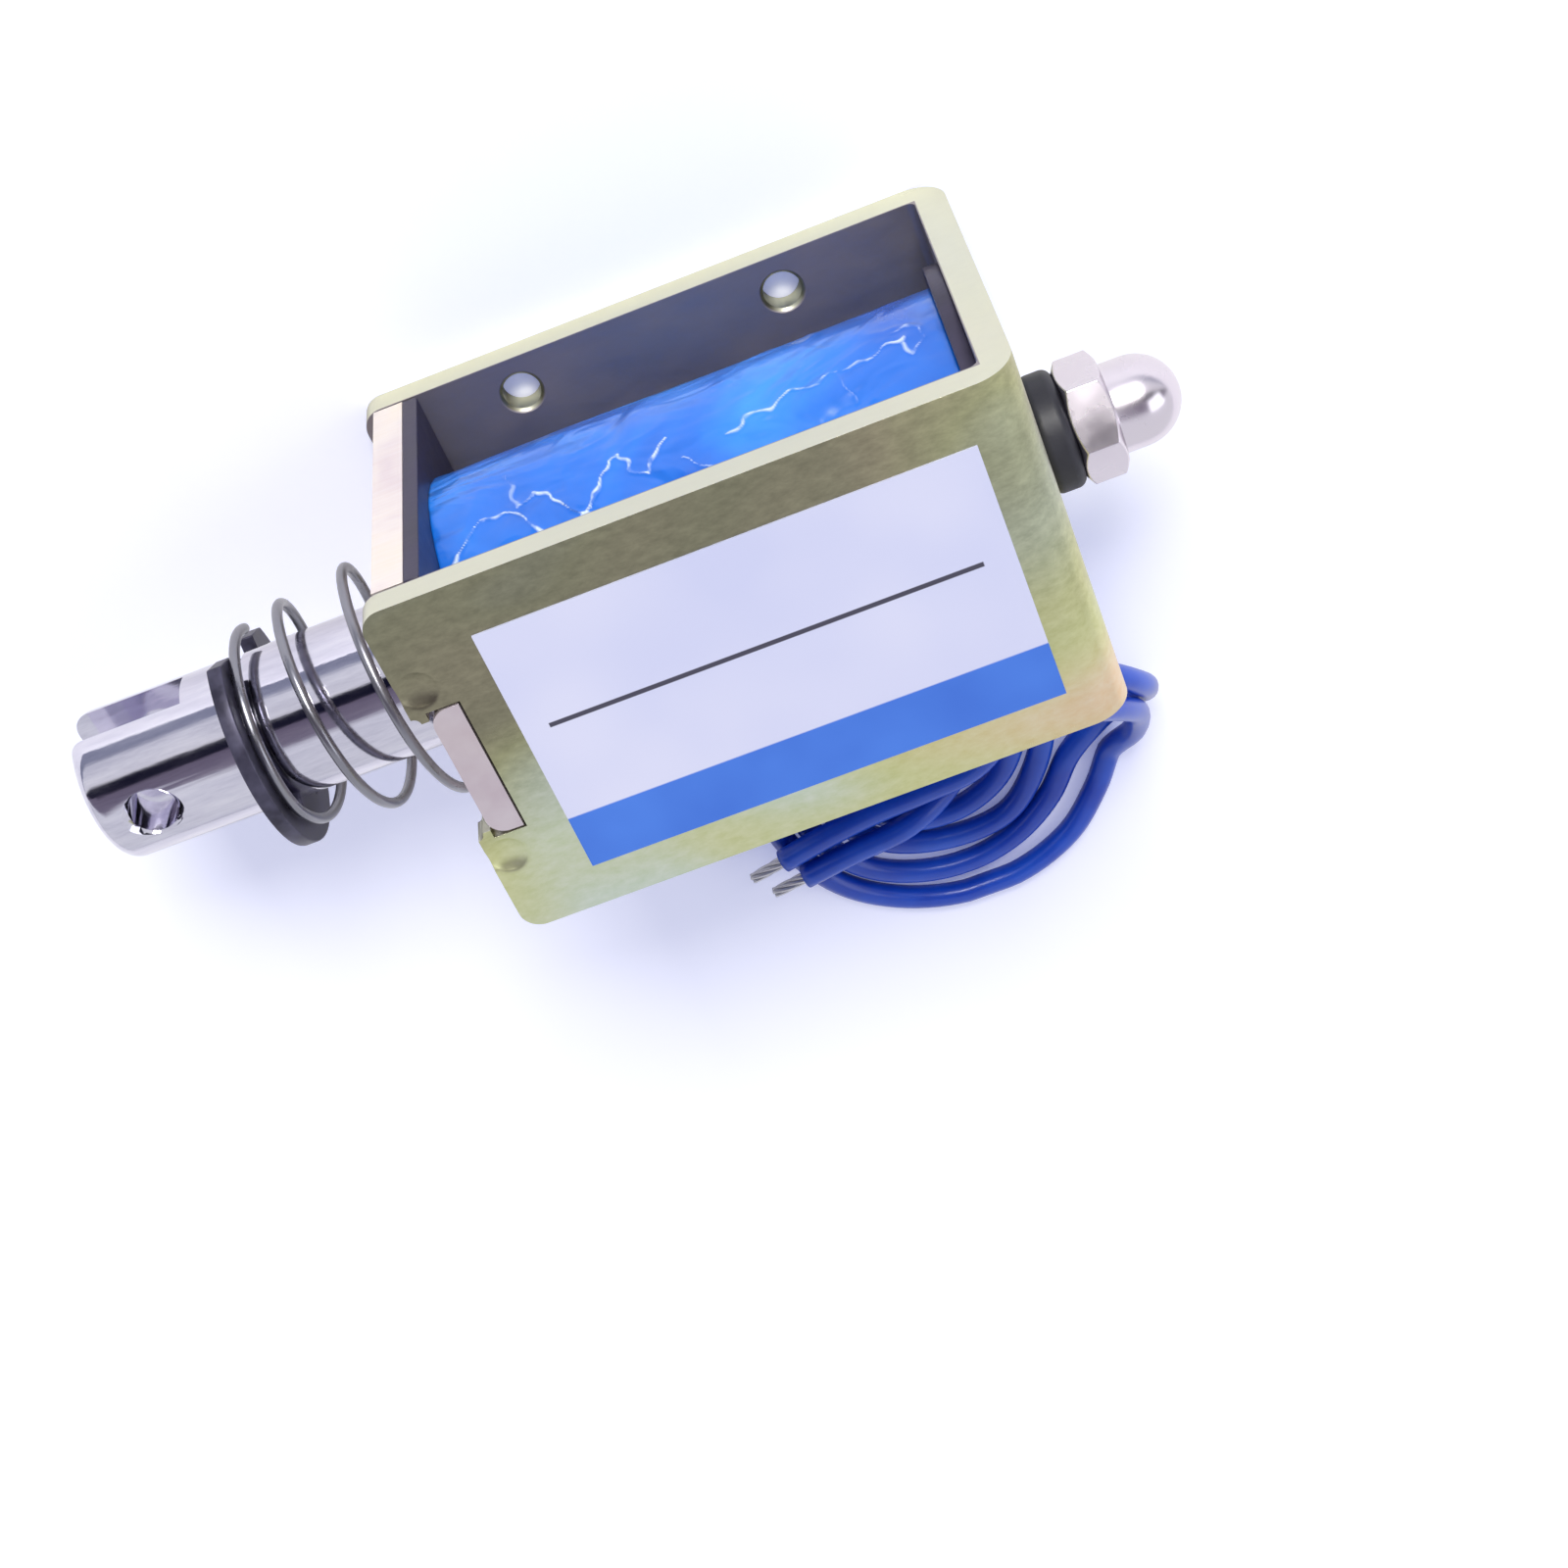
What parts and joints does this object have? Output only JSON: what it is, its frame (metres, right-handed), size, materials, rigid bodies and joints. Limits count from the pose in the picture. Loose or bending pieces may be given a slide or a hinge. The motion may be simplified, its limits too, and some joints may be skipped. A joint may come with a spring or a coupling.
{
  "type": "push pull solenoid",
  "caption": "Open-frame push-pull solenoid with a spring-returned slotted plunger, a capped push rod, a taped coil and two flying leads.",
  "frame": {"origin": "centre of the four tapped holes on the mounting face, the flat outer side of the frame's lower arm", "axes": "+X along the plunger axis in the push direction, towards the push rod's cap nut; +Z away from the mounting face, towards the label; +Y towards the side away from the leads"},
  "size_m": [0.0732, 0.056, 0.0266],
  "materials": {
    "frame_zinc": "yellow-green passivated zinc plate",
    "plate_zinc": "pale iridescent zinc plate",
    "bobbin_plastic": "moulded nylon",
    "copper_wire": "enamelled",
    "blue_tape": "glossy polyester tape",
    "brass_tube": "drawn",
    "core_steel": "turned",
    "nickel_plate": "bright nickel plate",
    "black_steel": "phosphated spring steel",
    "spring_steel": "drawn wire",
    "black_rubber": "moulded",
    "label_film": "satin film with a plain blue band",
    "splice_sleeve": "glass-fibre sleeve",
    "lead_pvc": "blue PVC insulation",
    "tinned_wire": "tinned strands"
  },
  "bodies": {
    "solenoid": {"frame": "frame_zinc", "end_plate": "plate_zinc", "bobbin": "bobbin_plastic", "coil_winding": "copper_wire", "coil_tape": "blue_tape", "guide_tube": "brass_tube", "fixed_core": "core_steel", "return_spring": "spring_steel", "label": "label_film", "lead_splice_a": "splice_sleeve", "lead_splice_b": "splice_sleeve", "lead_a": "lead_pvc", "lead_b": "lead_pvc", "lead_tip_a": "tinned_wire", "lead_tip_b": "tinned_wire"},
    "moving_plunger": {"plunger": "nickel_plate", "push_rod": "nickel_plate", "retaining_clip": "black_steel", "rubber_ring": "black_rubber", "cap_nut": "nickel_plate"}
  },
  "joints": [
    {"name": "plunger_slide", "type": "slide", "parent": "solenoid", "child": "moving_plunger", "axis": [1, 0, 0], "range_m": [0, 0.01], "stiffness_N_per_m": 230, "springref_m": -0.002, "deforming": ["return_spring"]}
  ]
}
